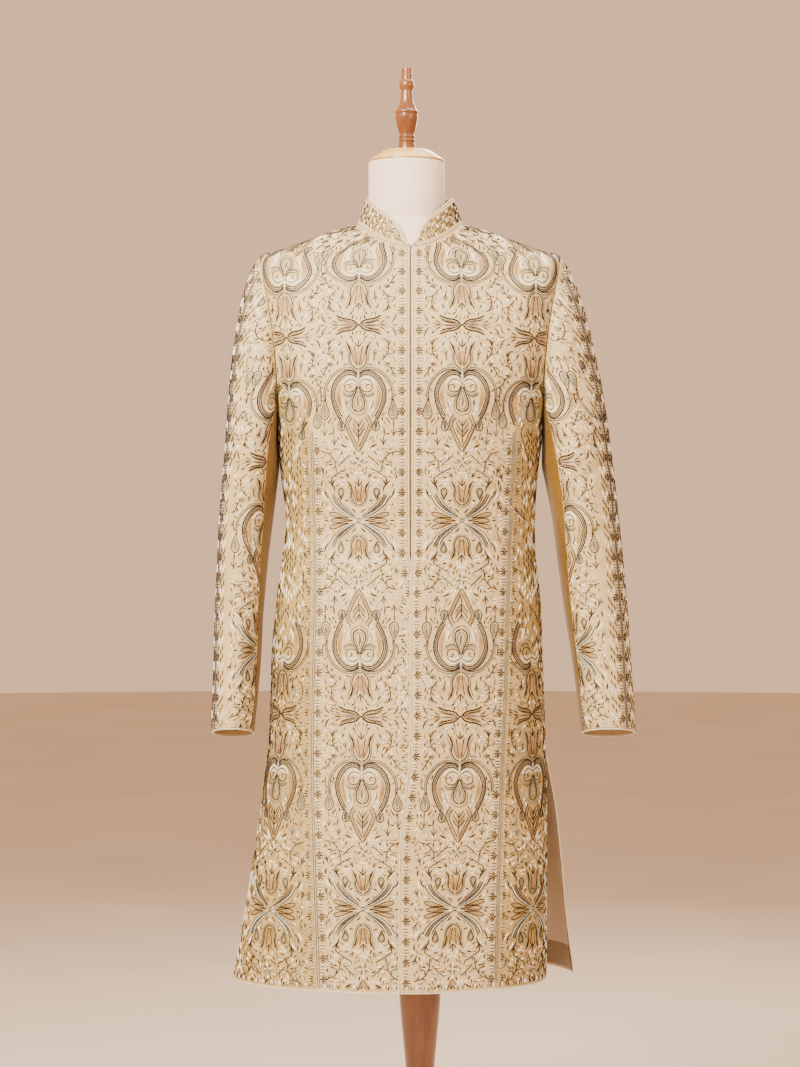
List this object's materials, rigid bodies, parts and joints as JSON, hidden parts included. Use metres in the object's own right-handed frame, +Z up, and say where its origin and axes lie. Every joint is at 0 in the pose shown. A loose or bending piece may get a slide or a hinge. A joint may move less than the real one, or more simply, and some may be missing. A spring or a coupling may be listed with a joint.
{
  "type": "sherwani coat on a limbless dress form",
  "caption": "Knee-length embroidered silk sherwani coat with a standing collar and piped edges, worn by a limbless dress form on a turned wooden stand.",
  "frame": {"origin": "middle of the underside of the stand's base", "axes": "+Z up, -Y out of the coat's front, +X to the wearer's left"},
  "size_m": [0.5857, 0.392, 1.727],
  "materials": {
    "brocade": "embroidered silk brocade with a soft sheen",
    "gold_silk": "plain gold silk",
    "piping": "twisted cream cord",
    "lining": "smooth pinkish lining",
    "form_cloth": "plain cotton over a padded form",
    "pale_wood": "satin pale wood",
    "brown_wood": "polished warm brown wood"
  },
  "bodies": {
    "root": {"back_left": "brocade", "back_right": "brocade", "base": "brown_wood", "collar": "brocade", "finial": "brown_wood", "front_left": "brocade", "front_right": "brocade", "hem_facing_back_left": "gold_silk", "lining_back_left": "lining", "neck": "form_cloth", "neck_cap": "pale_wood", "piping_cuff_left": "piping", "piping_cuff_right": "piping", "piping_edge_left": "piping", "piping_edge_right": "piping", "piping_hem_back_left": "piping", "piping_hem_back_right": "piping", "piping_hem_front_left": "piping", "piping_hem_front_right": "piping", "piping_slit_back_left": "piping", "piping_slit_back_right": "piping", "piping_slit_front_left": "piping", "piping_slit_front_right": "piping", "post": "brown_wood", "side_front_left": "brocade", "side_front_right": "brocade", "sleeve_under_left": "gold_silk", "sleeve_under_right": "gold_silk", "sleeve_upper_left": "brocade", "sleeve_upper_right": "brocade", "torso": "form_cloth", "underlap": "gold_silk"}
  },
  "joints": []
}
